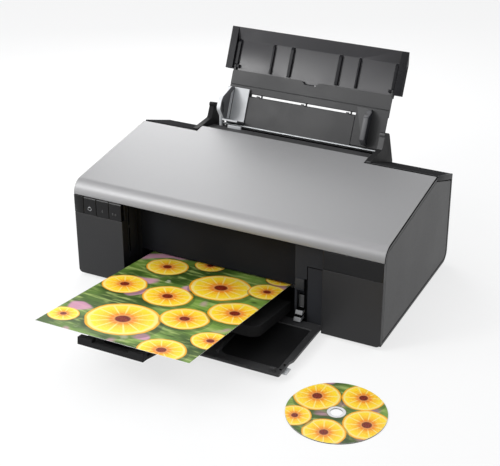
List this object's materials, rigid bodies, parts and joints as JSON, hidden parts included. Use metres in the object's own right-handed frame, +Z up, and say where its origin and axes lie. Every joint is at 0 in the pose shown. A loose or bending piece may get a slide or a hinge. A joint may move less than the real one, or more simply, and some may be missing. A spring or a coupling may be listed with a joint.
{
  "type": "disc label printer",
  "caption": "Wide charcoal desktop printer with a silver lid, open front tray holding a printed sheet, smoked rear paper support and a printed disc beside it",
  "frame": {"origin": "on the underside of the base pan, in the middle of the body's footprint; the rubber feet reach 4 mm below it", "axes": "+Z up, -Y towards the person using it, where the sheet comes out, +X to that person's right"},
  "size_m": [0.512, 0.5578, 0.2812],
  "materials": {
    "charcoal_shell": "fine satin texture, dark charcoal",
    "silver_lid": "smooth silver lacquer on plastic",
    "black_moulding": "matt black",
    "gloss_black": "piano black",
    "dark_flap": "satin, with a smoother pocket",
    "dark_guide": "satin black",
    "pale_lever": "light grey",
    "grey_support": "mid grey, satin",
    "smoked_cover": "smoky, slightly see-through",
    "pale_guides": "light grey, a little see-through",
    "steel_parts": "ground and plated",
    "chassis_steel": "zinc plated sheet",
    "motor_steel": "drawn steel",
    "screw_steel": "dull zinc",
    "roller_rubber": "ground rubber",
    "foot_rubber": "soft",
    "gear_plastic": "natural acetal",
    "brass_pinion": "cut brass",
    "cartridge_shell": "moulded, one coloured label each",
    "encoder_film": "clear film with fine lines",
    "felt_pad": "absorbent felt",
    "board_green": "solder mask",
    "printed_paper": "gloss photo paper with a print",
    "printed_disc": "printable face with a print"
  },
  "bodies": {
    "printer_body": {"base_pan": "black_moulding", "pan_posts": "black_moulding", "feet": "foot_rubber", "left_side_panel": "charcoal_shell", "right_side_panel": "charcoal_shell", "rear_cover": "charcoal_shell", "rear_deck": "charcoal_shell", "feeder_housing": "black_moulding", "hinge_pins": "steel_parts", "left_front_panel": "charcoal_shell", "right_front_panel": "charcoal_shell", "right_trim_strip": "gloss_black", "button_bezel": "gloss_black", "exit_frame": "black_moulding", "hopper": "grey_support", "right_edge_guide": "grey_support", "feeder_bar": "steel_parts", "separation_pad": "roller_rubber", "paper_chute": "black_moulding", "chassis": "chassis_steel", "carriage_rod": "steel_parts", "timing_belt": "roller_rubber", "carriage_motor": "motor_steel", "encoder_strip": "encoder_film", "platen": "black_moulding", "feed_motor": "motor_steel", "cap_station": "gear_plastic", "waste_pad": "felt_pad", "main_board": "board_green", "power_supply": "motor_steel", "mains_inlet": "black_moulding", "usb_socket": "chassis_steel", "case_screws": "screw_steel"},
    "lid_body": {"lid": "silver_lid"},
    "front_cover_body": {"front_cover": "dark_flap"},
    "disc_guide_body": {"disc_guide": "dark_guide"},
    "lever_body": {"position_lever": "pale_lever"},
    "stacker_body": {"stacker": "black_moulding"},
    "extension_body": {"stacker_extension": "black_moulding"},
    "support_body": {"paper_support": "grey_support"},
    "dust_cover_body": {"dust_cover": "smoked_cover"},
    "left_guide_body": {"left_edge_guide": "pale_guides"},
    "power_button_body": {"power_button": "gloss_black"},
    "ink_button_body": {"ink_button": "gloss_black"},
    "paper_button_body": {"paper_button": "gloss_black"},
    "feed_body": {"feed_roller": "roller_rubber", "feed_gear": "gear_plastic"},
    "eject_body": {"eject_roller": "roller_rubber", "eject_gear": "gear_plastic"},
    "idler_body": {"idler_gear": "gear_plastic"},
    "pinion_body": {"feed_pinion": "brass_pinion"},
    "pinch_body": {"pinch_rollers": "roller_rubber"},
    "pickup_body": {"pickup_roller": "roller_rubber", "pickup_shaft": "steel_parts"},
    "carriage_body": {"carriage": "black_moulding", "print_head": "chassis_steel", "ink_cartridges": "cartridge_shell"},
    "drive_pulley_body": {"drive_pulley": "gear_plastic"},
    "idler_pulley_body": {"idler_pulley": "gear_plastic"},
    "sheet_body": {"printed_sheet": "printed_paper"},
    "disc_body": {"disc": "printed_disc"}
  },
  "joints": [
    {"name": "lid_hinge", "type": "hinge", "parent": "printer_body", "child": "lid_body", "pos_m": [0, 0.054, 0.15451], "axis": [-1, 0, 0], "range_deg": [0, 45]},
    {"name": "front_cover_hinge", "type": "hinge", "parent": "printer_body", "child": "front_cover_body", "pos_m": [0, -0.128, 0.005], "axis": [-1, 0, 0], "range_deg": [0, 5.5]},
    {"name": "disc_guide_hinge", "type": "hinge", "parent": "printer_body", "child": "disc_guide_body", "pos_m": [0, -0.092, 0.0415], "axis": [1, 0, 0], "range_deg": [0, 80]},
    {"name": "lever_slide", "type": "slide", "parent": "printer_body", "child": "lever_body", "axis": [0, 0, 1], "range_m": [0, 0.01]},
    {"name": "stacker_slide", "type": "slide", "parent": "printer_body", "child": "stacker_body", "axis": [0, 0.9901, -0.1402], "range_m": [0, 0.03]},
    {"name": "extension_slide", "type": "slide", "parent": "stacker_body", "child": "extension_body", "axis": [0, 0.9901, -0.1402], "range_m": [0, 0.045]},
    {"name": "support_slide", "type": "slide", "parent": "printer_body", "child": "support_body", "axis": [0, 0.4147, 0.91], "range_m": [-0.038, 0]},
    {"name": "dust_cover_hinge", "type": "hinge", "parent": "support_body", "child": "dust_cover_body", "pos_m": [-0.0075, 0.17067, 0.22301], "axis": [1, 0, 0], "range_deg": [0, 115]},
    {"name": "left_guide_slide", "type": "slide", "parent": "printer_body", "child": "left_guide_body", "axis": [1, 0, 0], "range_m": [0, 0.11]},
    {"name": "power_press", "type": "slide", "parent": "printer_body", "child": "power_button_body", "axis": [0, 1, 0], "range_m": [0, 0.0015], "stiffness_N_per_m": 600, "springref_m": -0.001},
    {"name": "ink_press", "type": "slide", "parent": "printer_body", "child": "ink_button_body", "axis": [0, 1, 0], "range_m": [0, 0.0015], "stiffness_N_per_m": 600, "springref_m": -0.001},
    {"name": "paper_press", "type": "slide", "parent": "printer_body", "child": "paper_button_body", "axis": [0, 1, 0], "range_m": [0, 0.0015], "stiffness_N_per_m": 600, "springref_m": -0.001},
    {"name": "feed_spin", "type": "hinge", "parent": "printer_body", "child": "feed_body", "pos_m": [0, 0.019, 0.03], "axis": [1, 0, 0], "continuous": true},
    {"name": "eject_spin", "type": "hinge", "parent": "printer_body", "child": "eject_body", "pos_m": [0, -0.059, 0.03], "axis": [1, 0, 0], "continuous": true},
    {"name": "idler_spin", "type": "hinge", "parent": "printer_body", "child": "idler_body", "pos_m": [0, -0.02, 0.03], "axis": [1, 0, 0], "continuous": true},
    {"name": "pinion_spin", "type": "hinge", "parent": "printer_body", "child": "pinion_body", "pos_m": [0, 0.047, 0.03], "axis": [1, 0, 0], "continuous": true},
    {"name": "pinch_spin", "type": "hinge", "parent": "printer_body", "child": "pinch_body", "pos_m": [0, 0.019, 0.0423], "axis": [1, 0, 0], "continuous": true},
    {"name": "pickup_spin", "type": "hinge", "parent": "printer_body", "child": "pickup_body", "pos_m": [0, 0.10502, 0.12765], "axis": [1, 0, 0], "continuous": true},
    {"name": "carriage_slide", "type": "slide", "parent": "printer_body", "child": "carriage_body", "axis": [1, 0, 0], "range_m": [-0.3, 0]},
    {"name": "drive_pulley_spin", "type": "hinge", "parent": "printer_body", "child": "drive_pulley_body", "pos_m": [-0.188, 0.0275, 0.0825], "axis": [0, 0, 1], "continuous": true},
    {"name": "idler_pulley_spin", "type": "hinge", "parent": "printer_body", "child": "idler_pulley_body", "pos_m": [0.188, 0.0275, 0.0825], "axis": [0, 0, 1], "continuous": true},
    {"name": "sheet_pull", "type": "slide", "parent": "printer_body", "child": "sheet_body", "axis": [0, -0.9901, 0.1402], "range_m": [0, 0.2]},
    {"name": "disc_lift", "type": "slide", "parent": "printer_body", "child": "disc_body", "axis": [0, 0, 1], "range_m": [0, 0.1]}
  ],
  "couplings": [
    {"joint": "eject_spin", "follows": "feed_spin", "ratio": 1},
    {"joint": "idler_spin", "follows": "feed_spin", "ratio": -1.0526},
    {"joint": "pinion_spin", "follows": "feed_spin", "ratio": -2.5},
    {"joint": "pinch_spin", "follows": "feed_spin", "ratio": -2},
    {"joint": "drive_pulley_spin", "follows": "carriage_slide", "rad_per_m": 120.48},
    {"joint": "idler_pulley_spin", "follows": "carriage_slide", "rad_per_m": 120.48}
  ]
}
